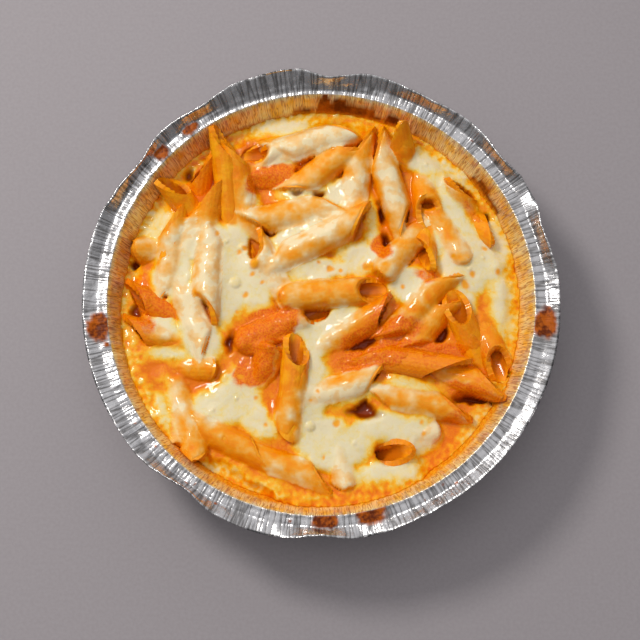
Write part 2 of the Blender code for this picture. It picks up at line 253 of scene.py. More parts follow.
# gaps in the cheese: sunk into the bed, and darkened there with painted shade
HOLES = (
    Patch(-15, 1.5, 4, 3.2, -10),
    Patch(-18, -11, 2.2, 1.2, 0),
    Patch(-21, -21, 3.2, 2.4, -30),
    Patch(-39, -17, 4, 1.6, 80, 0.7),
    Patch(-22, 31.5, 3.6, 1.5, 15),
    Patch(-0.8, 48, 2.6, 1.2, 10),
    Patch(-10.5, 49, 2.6, 1.6, 0, 0.7),
    Patch(1.8, 36.7, 1.8, 0.9, 0, 0.7),
    Patch(26.5, 40.5, 4, 1.2, 98),
    Patch(28.5, 27, 3.4, 1.3, 105),
    Patch(35, 17.6, 4.2, 1.7, 30),
    Patch(71.5, 38.4, 2.2, 1.2, 120),
    Patch(52, -13.3, 3.4, 2.2, 60),
    Patch(17.7, -17.4, 6.5, 2.2, 15, 0.75),
    Patch(54, -30.5, 4.4, 2.2, 20, 0.8),
    Patch(69, -41.5, 10, 1.4, -3, 0.9),
    Patch(-58, 57.5, 2.4, 1.4, 80, 0.7),
    Patch(-80.5, 17.8, 2.3, 1.5, 0),
    Patch(-54.5, 33, 1.6, 1.1, 60, 0.6),
    Patch(-43.5, -58.5, 3, 1.6, -20, 0.5),
    Patch(18.5, -47.4, 6.4, 1.9, -3),
    Patch(18.4, -45.2, 3.8, 1.7, 0),
    Patch(18.3, -43.2, 1.7, 1.8, 0),
    Patch(8.4, -77.5, 3.8, 1.4, 5),
    Patch(-80, -3.5, 3, 1.8, 90, 0.7),
)
POOLS = (Patch(60, -55, 24, 13, 45), Patch(60, -60, 22, 10, 50), Patch(-40, -76, 30, 5, -28))
# middle and radius of the oil spots
SPOTS = (
    (20, 17, 2.2), (62, 8.5, 2), (66, 12.5, 1.3), (35, 8, 1.2), (4, 15, 1.5), (8, 14, 1.2), (-1, 17.5, 1),
    (-1.5, -38, 1), (-5, -42, 0.8), (10, -46, 1.2), (7, -51, 1.5), (42, -51, 1), (43, -56, 1),
    (0.5, -66, 0.8), (-36, 22, 1.2), (-33, 24, 1.5), (-29, 17, 2.4), (-30, 13, 1.2), (-45, 30, 1),
    (-33, 4, 1.4), (-36, -3, 1), (-25, 10, 1), (70, 24, 1), (57, 20, 1), (76, 14, 1.2), (-46, -34, 1.2),
    (-39, -29, 1.4), (-34, -32, 1.4), (-28, -41, 1), (-24, -52, 1), (24, 12, 1), (27, 16, 1),
)
# middle, radius and height of the blisters in the cheese
BUBBLES = (
    (-29, 17, 2.4, 1.1), (-34, 25, 1.6, 0.7), (-32, 22.5, 1, 0.5), (-37, 9, 2.4, 0.9),
    (-41, 27, 1.1, 0.5), (-4.5, -53, 2.1, 1), (-36, -41, 1, 0.5), (-46, -46, 1, 0.5),
    (-51, -39, 0.9, 0.4), (-63.5, -23.5, 1, 0.4), (64, 15, 1, 0.5), (70, 20, 0.8, 0.4), (84, 2, 1, 0.5),
    (83, -4, 0.9, 0.4), (82, 8, 1.1, 0.5), (2, 16, 0.9, 0.4), (14, -60, 1, 0.5), (46, 62, 1, 0.4),
    (-70, 34, 1.2, 0.5), (-74, 30, 1, 0.5), (-76, 36, 1.1, 0.5), (-67, 40, 0.9, 0.4),
)
# sauce baked on the wall: angle, half width and height above the food's edge
SPLASHES = (
    (84, 9, 12), (89, 3, 15), (77, 6, 11), (69, 5, 9), (95, 5, 7), (36, 7, 10), (30, 6, 6), (120, 14, 4),
    (61, 5, 4),
)
# crusts on the rim: angle and half width in degrees, inner and outer radius
CRUSTS = (
    (187, 4.2, 89, 100), (354, 4.6, 89.5, 101), (137, 2.6, 91, 98), (127, 2.6, 91.5, 97),
    (271, 3.8, 87, 97.5), (283, 4.4, 86.5, 97.5), (192, 0.8, 91, 94), (214, 0.3, 93, 94),
    (222, 0.4, 92, 93.2), (234, 0.5, 95, 96.4), (236, 0.3, 93, 94), (243, 0.5, 96, 97.2),
    (280, 0.4, 94, 95), (297, 0.4, 94, 95), (303, 0.4, 92, 93.5), (306, 0.5, 95, 96), (47, 0.5, 95, 96.2),
    (262, 0.5, 93, 94),
)


def smooth_step(share):
    share = np.clip(share, 0, 1)
    return share * share * (3 - 2 * share)


def ripple(x, y, size, seed):
    """Smooth noise from -1 to 1 whose bumps are about this size."""
    return np.array([noise.noise(Vector((a / size, b / size, seed))) for a, b in zip(x, y)])


# ------------------------------------------------------------------------------------------------ materials


class Wire:
    """A number or colour on its way through a material; arithmetic on it adds Math nodes."""

    def __init__(self, finish, socket):
        self.finish, self.socket = finish, socket

    def calc(self, operation, *terms, clamp=False):
        settings = {"operation": operation, "use_clamp": clamp}
        return self.finish.node("ShaderNodeMath", settings, dict(enumerate(terms)))

    def __add__(self, other):
        return self.calc("ADD", self, other)

    def __radd__(self, other):
        return self.calc("ADD", other, self)

    def __sub__(self, other):
        return self.calc("SUBTRACT", self, other)

    def __rsub__(self, other):
        return self.calc("SUBTRACT", other, self)

    def __mul__(self, other):
        return self.calc("MULTIPLY", self, other)

    def __rmul__(self, other):
        return self.calc("MULTIPLY", other, self)

    def size(self):
        return self.calc("ABSOLUTE", self)

    def clamp(self):
        return self.calc("ADD", self, 0, clamp=True)

    def step(self, low, high):
        """0 below low, 1 above high and smooth between."""
        inputs = {"Value": self, "From Min": low, "From Max": high}
        return self.finish.node("ShaderNodeMapRange", {"interpolation_type": "SMOOTHSTEP"}, inputs)


class Finish:
    """The nodes of a material or of the surroundings: node() adds each one, and shine() sets the shader."""

    def __init__(self, owner, shader="Principled BSDF"):
        self.owner = owner
        self.owner.use_nodes = True
        self.tree = self.owner.node_tree
        self.shader = self.tree.nodes[shader]

    def plug(self, socket, value):
        if isinstance(value, Wire):
            self.tree.links.new(value.socket, socket)
        elif isinstance(value, tuple) and len(value) == 3 and socket.type == "RGBA":
            socket.default_value = (*value, 1)
        else:
            socket.default_value = value

    def node(self, kind, settings=None, inputs=None, output=0):
        made = self.tree.nodes.new(kind)
        for key, value in (settings or {}).items():
            if key == "stops":
                self.set_stops(made.color_ramp.elements, value)
            else:
                setattr(made, key, value)
        for key, value in (inputs or {}).items():
            self.plug(made.inputs[key], value)
        return Wire(self, made.outputs[output])

    @staticmethod
    def set_stops(points, stops):
        for place, _ in stops[2:]:
            points.new(place)
        for point, (place, colour) in zip(points, stops):
            point.position = place
            point.color = (*colour, 1)

    def attribute(self, name):
        return self.node("ShaderNodeAttribute", {"attribute_name": name}, output="Fac")

    def place(self):
        return self.node("ShaderNodeTexCoord", output="Object")

    def vector(self, operation, *terms):
        return self.node("ShaderNodeVectorMath", {"operation": operation}, dict(enumerate(terms)))

    def noise(self, size, detail=3, place=None):
        """Fractal noise whose bumps are about size millimetres."""
        inputs = {"Vector": place or self.place(), "Scale": 1 / (size * MM), "Detail": detail}
        return self.node("ShaderNodeTexNoise", None, inputs)

    def mix(self, share, low, high):
        return self.node("ShaderNodeMix", {"data_type": "RGBA"}, {0: share, 6: low, 7: high}, output=2)

    def ramp(self, share, *stops):
        """A colour for each share; each stop is a share and a screen colour."""
        stops = [(place, srgb(*colour)) for place, colour in stops]
        return self.node("ShaderNodeValToRGB", {"stops": stops}, {"Fac": share}, output="Color")

    def bump(self, height, distance, strength):
        inputs = {"Height": height, "Distance": distance * MM, "Strength": strength}
        return self.node("ShaderNodeBump", None, inputs)

    def shine(self, **sockets):
        for name, value in sockets.items():
            self.plug(self.shader.inputs[name.replace("_", " ").title().replace("Ior", "IOR")], value)
        return self.owner


def srgb(red, green, blue):
    """A colour as a screen shows it, 0 to 255, as linear light."""
    return tuple(
        ((v / 255 + 0.055) / 1.055) ** 2.4 if v > 10 else v / 255 / 12.92 for v in (red, green, blue)
    )


def foil_finish():
    made = Finish(bpy.data.materials.new("creased_foil"))
    stain, splash, crust = (made.attribute(name) for name in ("stain", "splash", "crust"))
    residue = made.attribute("residue")
    fine, streak = made.noise(1.3, 4), made.noise(6, 3)
    spoke = made.vector("NORMALIZE", made.vector("MULTIPLY", made.place(), (1, 1, 0)))
    around = made.vector("MULTIPLY_ADD", made.place(), (1.0, 1.0, 1.0), spoke)
    wide_pleats, thin_pleats = made.noise(24, 1, around), made.noise(10, 1, around)
    wide = ((wide_pleats - 0.5).size() * 7).clamp()
    thin = ((thin_pleats - 0.5).size() * 6).clamp()
    pleat = 0.7 * wide + 0.3 * thin
    # the foil darker along its pleats: painted shade in the folds
    metal = made.mix(pleat.step(0.05, 0.7), srgb(146, 143, 141), srgb(224, 222, 222))
    film = made.mix(streak.step(0.35, 0.7), srgb(252, 222, 142), srgb(248, 188, 58))
    # the film on the wall darker along the thin pleats: painted shade in the folds
    film = made.mix(thin.step(0, 0.5), srgb(196, 132, 50), film)
    colour = made.mix((stain * (0.8 + 0.35 * streak)).clamp(), metal, film)
    burnt = made.mix(streak.step(0.35, 0.65), srgb(112, 50, 2), srgb(182, 96, 8))
    colour = made.mix(splash, colour, burnt)
    oily = made.mix(fine.step(0.4, 0.6), srgb(228, 128, 2), srgb(242, 172, 30))
    colour = made.mix(residue, colour, oily)
    crumb = made.mix((0.6 * streak + 0.4 * fine).step(0.4, 0.6), srgb(96, 36, 4), srgb(176, 86, 10))
    colour = made.mix(crust, colour, crumb)
    return made.shine(
        base_color=colour,
        metallic=(1 - splash * 0.8 - crust - residue - stain * 0.72).clamp(),
        roughness=(0.2 + 0.14 * fine + 0.2 * splash + 0.2 * crust + 0.12 * stain).clamp(),
        normal=made.bump(pleat + 0.8 * fine * (1 - stain), 0.26, 0.55),
        specular_ior_level=0.15,
    )


def penne_finish():
    made = Finish(bpy.data.materials.new("cooked_penne"))
    red, inner = made.attribute("red"), made.attribute("inner")
    patches, fine = made.noise(5, 3), made.noise(1.1, 3)
    gold = made.mix(patches.step(0.35, 0.65), srgb(236, 134, 0), srgb(244, 162, 12))
    sauced = made.mix(fine.step(0.35, 0.65), srgb(228, 98, 0), srgb(240, 134, 0))
    colour = made.mix((red * 1.25 + 0.9 * patches - 0.5).step(0.1, 0.75), gold, sauced)
    # painted shade: a darker colour inside the bore
    colour = made.mix(inner, colour, srgb(204, 108, 6))
    return made.shine(
        base_color=colour,
        roughness=0.3 + 0.18 * fine,
        normal=made.bump(fine + 1.6 * patches, 0.42, 0.5),
        specular_ior_level=0.12,
        coat_weight=0.45,
        coat_roughness=0.08,
        subsurface_weight=0.08,
        subsurface_radius=(1, 0.6, 0.3),
        subsurface_scale=0.002,
    )


def blanket_finish():
    """Sauce, film and cheese, told apart by attributes of the surface and broken up by noise."""
    made = Finish(bpy.data.materials.new("melted_cheese_and_sauce"))
    cream, film, red = (made.attribute(name) for name in ("cream", "film", "red"))
    deep, spot, on_quill = (made.attribute(name) for name in ("deep", "spot", "on_quill"))
    broad, mid, fine = made.noise(10, 3), made.noise(2.6, 4), made.noise(0.8, 3)
    vein = 1 - ((made.noise(4.5, 3) - 0.5).size() * 14).clamp()
    uneven = 0.55 * mid + 0.55 * broad + 0.12 * fine - 0.61 - 0.12 * vein
    patchy = 1.15 * made.noise(6, 2) + 0.4 * mid - 0.81
    bed = made.ramp(
        cream + uneven,
        (0, (228, 116, 0)), (0.16, (236, 138, 0)), (0.32, (240, 160, 4)), (0.46, (238, 182, 46)),
        (0.6, (236, 200, 104)), (0.8, (230, 210, 148)), (1, (228, 214, 174)),
    )
    skin = made.ramp(
        film + patchy,
        (0, (232, 124, 0)), (0.24, (238, 138, 0)), (0.42, (238, 152, 24)), (0.58, (236, 168, 68)),
        (0.76, (235, 186, 114)), (0.95, (236, 204, 148)), (1.1, (236, 216, 172)),
    )
    colour = made.mix(on_quill, bed, skin)
    red_sauce = made.mix(fine.step(0.3, 0.7), srgb(222, 92, 0), srgb(238, 134, 0))
    colour = made.mix((red + 0.7 * mid - 0.35).step(0.3, 0.85), colour, red_sauce)
    colour = made.mix(spot, colour, srgb(238, 156, 6))
    # painted shade: dark red-brown in the holes, in crevices between quills and in the quills' mouths
    colour = made.mix(deep, colour, srgb(128, 44, 0))
    return made.shine(
        base_color=colour,
        roughness=(0.25 + 0.2 * mid + 0.1 * deep).clamp(),
        normal=made.bump(mid + 0.5 * fine + red * fine * 1.5, 0.45, 0.5),
        specular_ior_level=0.1,
        coat_weight=0.42,
        coat_roughness=0.05,
        subsurface_weight=0.1,
        subsurface_radius=(1, 0.6, 0.3),
        subsurface_scale=0.003,
    )


# ------------------------------------------------------------------------------------------------ modelling


def start_piece(name):
    """Names the primitive that an operator has just added, and opens it in edit mode."""
    piece = bpy.context.object
    piece.name = piece.data.name = name
    bpy.ops.object.mode_set(mode="EDIT")
    return piece


def close_piece(piece, finish):
    """Leaves edit mode and gives the piece its finish, body and material slot."""
    if bpy.context.mode != "OBJECT":
        bpy.ops.object.mode_set(mode="OBJECT")
    bpy.ops.object.transform_apply(location=True, rotation=True, scale=True)
    piece.data.materials.clear()
    piece.data.materials.append(finish)
    piece.data.polygons.foreach_set("use_smooth", [True] * len(piece.data.polygons))
    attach(piece, "root")


def deselect():
    if bpy.context.mode != "OBJECT":
        bpy.ops.object.mode_set(mode="OBJECT")
    bpy.ops.object.select_all(action="DESELECT")


def points_of(mesh):
    flat = np.empty(len(mesh.vertices) * 3)
    mesh.vertices.foreach_get("co", flat)
    return flat.reshape(-1, 3) / MM


def set_points(mesh, points):
    mesh.vertices.foreach_set("co", (points * MM).ravel())
    mesh.update()


def set_attribute(mesh, name, values):
    layer = mesh.attributes.new(name, "FLOAT", "POINT")
    layer.data.foreach_set("value", np.asarray(values, dtype=np.float32))


def apply_modifier(piece, kind, **settings):
    made = piece.modifiers.new(kind.lower(), kind)
    for key, value in settings.items():
        setattr(made, key, value)
    bpy.context.view_layer.objects.active = piece
    bpy.ops.object.modifier_apply(modifier=made.name)


# ----------------------------------------------------------------------------------------------------- tray


def lip_bend(degrees):
    places = np.array([place for place, bend in LIP_BENDS] + [360.0])
    bends = np.array([bend for place, bend in LIP_BENDS] + [LIP_BENDS[0][1]], dtype=float)
    step = np.clip(np.searchsorted(places, degrees % 360, side="right") - 1, 0, len(LIP_BENDS) - 1)
    share = (degrees % 360 - places[step]) / (places[step + 1] - places[step])
    return np.radians(bends[step] + (bends[step + 1] - bends[step]) * smooth_step(share))


def south(degrees):
    """1 along the south wall, where the food stands higher, and 0 along the north wall."""
    return smooth_step((np.cos(np.radians(degrees - 262)) + 0.1) / 0.7)


def creases(degrees, count, seed, sharpness):
    """Sharp uneven folds round the tray: 0 on the flats and up to 1 in each fold."""
    dice = np.random.default_rng(seed)
    places = (np.arange(count) + dice.uniform(-0.35, 0.35, count)) * 360 / count
    depths = dice.uniform(0.15, 1, count) ** 1.5
    gap = (degrees[:, None] - places[None, :] + 180) % 360 - 180
    return np.max(depths * np.clip(1 - np.abs(gap) * count / 360 * sharpness, 0, 1), axis=1)


def wall_dents(degrees, height):
    """How far the folds reach into the tray from the plain cone of its wall."""
    folds = creases(degrees, 260, 1, 1.6) - 0.5 * creases(degrees, 190, 2, 1.6)
    return (0.45 * folds + 0.2 * ripple(degrees, height, 5, 3.3)) * np.clip((height - 2) / 12, 0, 1)


def foil_inside(degrees, height):
    """Radius of the folded wall's inner skin."""
    share = (height - FOOT_ROUND) / (RIM_Z - FOOT_ROUND)
    cone = WALL_FOOT_R + share * (WALL_TOP_R - WALL_FOOT_R)
    return cone - FOIL - wall_dents(degrees, height)


def tray_stations():
    """Rings of the outer skin: radius, height and zone (0 base, 1 wall, 2 ledge, 3 lip, 4 hem)."""
    stations = [(HUB_R, 0.0, 0)]
    stations += [(r, 0.0, 0) for r in (16, 28, 40, 50, 57)]
    stations += [(58, 0.7, 0), (60, 1.0, 0), (62, 0.7, 0), (63, 0, 0), (68, 0, 0)]
    stations += [(FOOT_R - FOOT_ROUND, 0, 0), (FOOT_R - 1, 0.8, 0), (WALL_FOOT_R, FOOT_ROUND, 1)]
    for i in range(1, 13):
        share = i / 12
        radius = WALL_FOOT_R + share * (WALL_TOP_R - WALL_FOOT_R)
        stations.append((radius, FOOT_ROUND + share * (RIM_Z - FOOT_ROUND), 1))
    stations += [(WALL_TOP_R + 0.5, RIM_Z + 0.15, 2), (WALL_TOP_R + 1.2, LEDGE_Z, 2)]
    stations += [(WALL_TOP_R + step, LEDGE_Z, 2) for step in (2.2, 3.2, 4.2)]
    stations += [(HINGE_R - 0.2, RIM_Z - 0.25, 2)]
    stations += [(HINGE_R + LIP * (i / 6), LEDGE_Z, 3) for i in range(1, 7)]
    stations += [(HINGE_R + LIP + 0.35, RIM_Z - 0.3, 4), (HINGE_R + LIP + 0.1, RIM_Z - 0.75, 4)]
    return stations


def fold_foil(plain, degrees, zone, crumple):
    """The plain rings with the lip bent up, the far side sloped, and folds all over."""
    flat_r = np.hypot(plain[:, 0], plain[:, 1])
    unit = plain[:, :2] / flat_r[:, None]
    r, z = flat_r.copy(), plain[:, 2].copy()

    # the lip turns up about the ledge's outer fold
    bend = lip_bend(degrees)
    on_lip = zone >= 3
    out, above = r - HINGE_R, z - LEDGE_Z
    r = np.where(on_lip, HINGE_R + out * np.cos(bend) - above * np.sin(bend), r)
    z = np.where(on_lip, LEDGE_Z + out * np.sin(bend) + above * np.cos(bend), z)

    # the far side slopes up from near the wall
    far = smooth_step((np.cos(np.radians(degrees - 97)) - 0.87) / 0.1)
    share = (flat_r - FAR_FOLD_R) / (HINGE_R + LIP - FAR_FOLD_R)
    sloped = (zone >= 2) & (share > 0)
    slope_r = FAR_FOLD_R + share * (HINGE_R + LIP * np.cos(bend) - FAR_FOLD_R)
    r = np.where(sloped, r + far * (slope_r - r), r)
    z = np.where(sloped, z + far * (LEDGE_Z + FAR_RISE * share + above - z), z)

    # folds: upright on the wall, and across the ledge and the lip
    rim_folds = creases(degrees, 150, 3, 1.1) - 0.7 * creases(degrees, 110, 4, 1.1)
    lip_folds = creases(degrees, 140, 5, 1.1) - 0.8 * creases(degrees, 100, 6, 1.1)
    dents = ripple(plain[:, 0], plain[:, 1], 4.5, 0.7)
    near_fold = np.clip(np.abs(r - WALL_TOP_R) / 1.2, 0.15, 1)
    r = np.where(zone == 1, r - wall_dents(degrees, z) * np.where(z > RIM_Z - 2, 0.4, 1), r)
    z = np.where(zone == 2, z - (0.38 * rim_folds + 0.22 * crumple + 0.12 * dents) * near_fold, z)
    lip_lift = (0.34 * lip_folds + 0.16 * crumple + 0.25 * dents) * np.clip(out / 1.5, 0, 1)
    r = np.where(on_lip, r + lip_lift * np.sin(bend), r)
    z = np.where(on_lip, z - lip_lift * np.cos(bend), z)
    r = np.where(zone == 4, np.minimum(r, HEM_R), r)
    return np.column_stack((unit[:, 0] * r, unit[:, 1] * r, z))


def baked_on(points, degrees, zone, flat_r):
    """Sauce on the foil: a film over the wall, residue and splashes above the food, crusts on the rim."""
    x, y, z = points.T
    wall_height = np.clip((z - 24) / (RIM_Z - 24), 0, 1)
    streaks = creases(degrees, 260, 8, 1.3)
    stain = np.where(zone == 1, 1 - 0.5 * wall_height * streaks, 0)
    splash = np.zeros(len(points))
    for middle, half, top in SPLASHES:
        off = (degrees - middle + 180) % 360 - 180
        reach = top * (1 - (off / half) ** 2) + 2.4 * ripple(degrees, z, 2.5, 6.1)
        splash = np.maximum(splash, np.where(zone == 1, smooth_step((reach - (z - 28)) / 1.2), 0))
    froth = ripple(x, y + z, 2.6, 4.1) + 0.7 * ripple(x, y + z, 7, 5.1)
    food_edge = 30.5 + 3.2 * south(degrees)
    residue = np.where(zone == 1, smooth_step((1.2 + 1.6 * froth + food_edge - z) / 1.2), 0)
    crust = np.zeros(len(points))
    for middle, half, inner, outer in CRUSTS:
        off = ((degrees - middle + 180) % 360 - 180) / half
        across = (flat_r - (inner + outer) / 2) / ((outer - inner) / 2)
        d = np.hypot(off, across) + 0.22 * ripple(x, y, 2.2, 1.5)
        crust = np.maximum(crust, np.where(zone >= 2, smooth_step((1.05 - d) / 0.3), 0))
    return {"stain": stain, "splash": splash, "crust": crust, "residue": residue}


def close_hub(mesh):
    """Fills the innermost ring and turns all faces outwards."""
    bpy.ops.object.mode_set(mode="EDIT")
    bpy.ops.mesh.select_all(action="DESELECT")
    bm = bmesh.from_edit_mesh(mesh)
    for edge in bm.edges:
        edge.select = all(v.co.xy.length < (HUB_R + 0.5) * MM for v in edge.verts)
    bm.select_flush(True)
    bmesh.update_edit_mesh(mesh)
    bpy.ops.mesh.edge_face_add()
    bpy.ops.mesh.poke()
    bpy.ops.mesh.select_all(action="SELECT")
    bpy.ops.mesh.normals_make_consistent(inside=False)
    bpy.ops.object.mode_set(mode="OBJECT")
    if mesh.polygons[0].normal.z > 0:
        mesh.flip_normals()


def make_tray():
    stations = tray_stations()
    radius, height, _ = stations[0]
    bpy.ops.mesh.primitive_circle_add(vertices=AROUND, radius=radius * MM, fill_type="NOTHING")
    tray = start_piece("foil_tray_creased")
    for next_radius, next_height, _ in stations[1:]:
        rise = (0, 0, (next_height - height) * MM)
        bpy.ops.mesh.extrude_region_move(TRANSFORM_OT_translate={"value": rise})
        grow = next_radius / radius
        bpy.ops.transform.resize(value=(grow, grow, 1), center_override=(0, 0, next_height * MM))
        radius, height = next_radius, next_height
    bpy.ops.object.mode_set(mode="OBJECT")
    mesh = tray.data
    plain = points_of(mesh)
    zone = np.array([station[2] for station in stations]).repeat(AROUND)
    degrees = np.degrees(np.arctan2(plain[:, 1], plain[:, 0])) % 360
    crumple = ripple(plain[:, 0], plain[:, 1], 1.7, 5.2)
    points = fold_foil(plain, degrees, zone, crumple)
    marks = baked_on(points, degrees, zone, np.hypot(plain[:, 0], plain[:, 1]))
    for name, values in marks.items():
        set_attribute(mesh, name, values)
    points[:, 2] += marks["crust"] * (0.5 + 0.5 * crumple)
    set_points(mesh, points)
    close_hub(mesh)
    apply_modifier(tray, "SOLIDIFY", thickness=FOIL * MM, offset=-1)
    for name in marks:
        values = np.empty(len(mesh.vertices), dtype=np.float32)
        mesh.attributes[name].data.foreach_get("value", values)
        values[: len(points)] = 0  # the outer skin stays bare
        mesh.attributes[name].data.foreach_set("value", values)
    close_piece(tray, foil_finish())
    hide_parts("foil_tray")


# ---------------------------------------------------------------------------------------------------- penne


def quill_axes(penne):
    """A quill's two ends, its axis, the way its cuts lean, the cuts' normal, and the level way across it."""
    head, tail = np.array(penne.head, float), np.array(penne.tail, float)
    axis = (head - tail) / np.linalg.norm(head - tail)
    up = np.array((0, 0, 1)) - axis[2] * axis
    up /= np.linalg.norm(up)
    side = np.cross(up, axis)
    lean = cos(radians(penne.roll)) * up + sin(radians(penne.roll)) * side
    cut = cos(radians(penne.slant)) * axis + sin(radians(penne.slant)) * lean
    return head, tail, axis, lean, cut, side


def wall_inside(height):
    """Radius that the food can fill at this height."""
    return FOOT_R + (height - FOOT_ROUND) / (RIM_Z - FOOT_ROUND) * (OPENING_R - FOOT_R)


def make_quill():
    """One ridged tube along Z, longer than any quill and still to be cut."""
    bpy.ops.mesh.primitive_circle_add(vertices=RIDGES * 4, radius=PENNE_R * MM, fill_type="NOTHING")
    quill = start_piece("quill")
    for _ in range(QUILL_RINGS):
        bpy.ops.mesh.extrude_region_move(TRANSFORM_OT_translate={"value": (0, 0, RING_STEP * MM)})
    bpy.ops.object.mode_set(mode="OBJECT")
    points = points_of(quill.data)
    turn = np.arctan2(points[:, 1], points[:, 0])
    grow = 1 + (RIDGE * np.cos(turn * RIDGES) - RIDGE) / PENNE_R
    points[:, :2] *= grow[:, None]
    points[:, 2] -= QUILL_RINGS * RING_STEP / 2
    set_points(quill.data, points)
    return quill


def cut_quill(pattern, penne):
    """A copy of the pattern, cut aslant at both ends, given its wall, and laid in its place."""
    head, tail, axis, lean, _, _ = quill_axes(penne)
    half = np.linalg.norm(head - tail) / 2
    slant = radians(penne.slant)
    deselect()
    quill = pattern.copy()
    quill.data = pattern.data.copy()
    bpy.context.scene.collection.objects.link(quill)
    bpy.context.view_layer.objects.active = quill
    quill.select_set(True)
    bpy.ops.object.mode_set(mode="EDIT")
    for sign in (1, -1):
        bpy.ops.mesh.select_all(action="SELECT")
        bpy.ops.mesh.bisect(
            plane_co=(0, 0, sign * half * MM),
            plane_no=(sin(slant), 0, cos(slant)),
            clear_outer=sign > 0,
            clear_inner=sign < 0,
        )
    bpy.ops.mesh.select_all(action="SELECT")
    bpy.ops.mesh.normals_make_consistent(inside=False)
    bpy.ops.object.mode_set(mode="OBJECT")
    check = quill.data.polygons[0]
    if check.normal.x * check.center.x + check.normal.y * check.center.y < 0:
        quill.data.flip_normals()
    apply_modifier(quill, "SOLIDIFY", thickness=PENNE_WALL * MM, offset=-1)
    points = points_of(quill.data)
    from_axis = np.hypot(points[:, 0], points[:, 1])
    bore = from_axis < PENNE_R - PENNE_WALL / 2
    points[bore, :2] *= ((PENNE_R - PENNE_WALL) / from_axis[bore])[:, None]
    to_cut = half * cos(slant) - np.abs(points[:, 0] * sin(slant) + points[:, 2] * cos(slant))
    # the bore's inner skin, which penne_finish darkens with painted shade
    inner = bore & (to_cut > MOUTH_DEPTH)
    across = np.cross(axis, lean)
    middle = (head + tail) / 2
    points = middle + points[:, :1] * lean + points[:, 1:2] * across + points[:, 2:] * axis
    reach = np.hypot(points[:, 0], points[:, 1])
    limit = wall_inside(points[:, 2])
    pressed = limit - WALL_GIVE * np.exp((limit - WALL_GIVE - reach) / WALL_GIVE)
    points[:, :2] *= np.where(reach > limit - WALL_GIVE, pressed / reach, 1)[:, None]
    set_points(quill.data, points)
    set_attribute(quill.data, "red", np.full(len(points), penne.red))
    set_attribute(quill.data, "inner", inner)
    return quill


def make_penne():
    pattern = make_quill()
    finish = penne_finish()
    groups = {"penne_in_back": PENNE[:QUILLS_IN_BACK], "penne_in_front": PENNE[QUILLS_IN_BACK:]}
    for name, members in groups.items():
        quills = [cut_quill(pattern, penne) for penne in members]
        deselect()
        for quill in quills:
            quill.select_set(True)
        bpy.context.view_layer.objects.active = quills[0]
        bpy.ops.object.join()
        piece = start_piece(name)
        bpy.ops.mesh.select_mode(type="EDGE")
        bpy.ops.mesh.select_all(action="DESELECT")
        bpy.ops.mesh.edges_select_sharp(sharpness=radians(CREASE_ANGLE))
        bpy.ops.mesh.mark_sharp()
        close_piece(piece, finish)
        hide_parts("penne_heap")
    bpy.data.objects.remove(pattern)


# ------------------------------------------------------------------------------------------ cheese and sauce


def patch_mask(patches, x, y, soft):
    """1 inside the patches, 0 outside, with an edge this many millimetres wide."""
    best = np.zeros(len(x))
    for patch in patches:
        turn = radians(patch.turn)
        dx, dy = x - patch.x, y - patch.y
        along, across = dx * cos(turn) + dy * sin(turn), dy * cos(turn) - dx * sin(turn)
        d = np.hypot(along / patch.half_length, across / patch.half_width)
        inside = (1 - d) * patch.half_width
        best = np.maximum(best, patch.strength * smooth_step(inside / soft + 0.5))
    return best


def quill_top(x, y, penne, radius, bore):
    """A quill's height as seen from above, the angle round it, its mouths, and its wall without the cuts."""
    head, tail, axis, _, cut, side = quill_axes(penne)
    dx, dy = x - tail[0], y - tail[1]
    along = dx * axis[0] + dy * axis[1]
    flat = 1 - axis[2] ** 2

    def wall(r, sign):
        inside = (along * axis[2]) ** 2 - flat * (dx**2 + dy**2 - along**2 - r**2)
        return tail[2] + (along * axis[2] + sign * np.sqrt(np.maximum(inside, 0))) / flat, inside > 0

    top, hit = wall(radius, 1)
    bottom, _ = wall(radius, -1)
    bore_floor, in_bore = wall(bore, -1)
    bore_roof, _ = wall(bore, 1)
    height = top.copy()
    mouth = np.zeros(len(x), bool)
    slack = radius - PENNE_R
    for end, outward in ((head, cut), (tail, -cut)):
        place = [end[i] + slack * outward[i] for i in range(3)]
        along = (x - place[0]) * outward[0] + (y - place[1]) * outward[1]
        beyond = along + (height - place[2]) * outward[2] > 0
        if outward[2] > 0.05:
            face = place[2] - ((x - place[0]) * outward[0] + (y - place[1]) * outward[1]) / outward[2]
            bored = in_bore & (face < bore_roof) & (face > bore_floor)
            opened = np.where(bored, np.maximum(bore_floor, face - 2 * bore), face)
            height = np.where(beyond, opened, height)
            mouth |= beyond & bored
            hit &= ~beyond | (face > bottom)
        else:
            hit &= ~beyond
    lateral = dx * side[0] + dy * side[1]
    angle = np.arcsin(np.clip(lateral / PENNE_R, -1, 1))
    return np.where(hit, height, BESIDE), angle, mouth & hit, top


def disc_net(steps):
    """The points of a square grid, moved so that they fill a disc of radius 1 evenly."""
    side = np.linspace(-1, 1, steps + 1)
    u, v = np.meshgrid(side, side)
    wide = np.abs(u) > np.abs(v)
    reach = np.where(wide, u, v)
    share = np.divide(np.where(wide, v, u), reach, out=np.zeros_like(u), where=reach != 0)
    turn = np.where(wide, share * pi / 4, pi / 2 - share * pi / 4)
    return (reach * np.cos(turn)).ravel(), (reach * np.sin(turn)).ravel()


def soften(values, rounds):
    """Averages each point of a square grid with its neighbours."""
    for _ in range(rounds):
        inner = values[1:-1, 1:-1]
        around = (values[:-2, 1:-1] + values[2:, 1:-1] + values[1:-1, :-2] + values[1:-1, 2:]) / 4
        values[1:-1, 1:-1] = 0.4 * inner + 0.6 * around
    return values


Ground = namedtuple("Ground", "wx wy cream red orange hole brim froth bed")


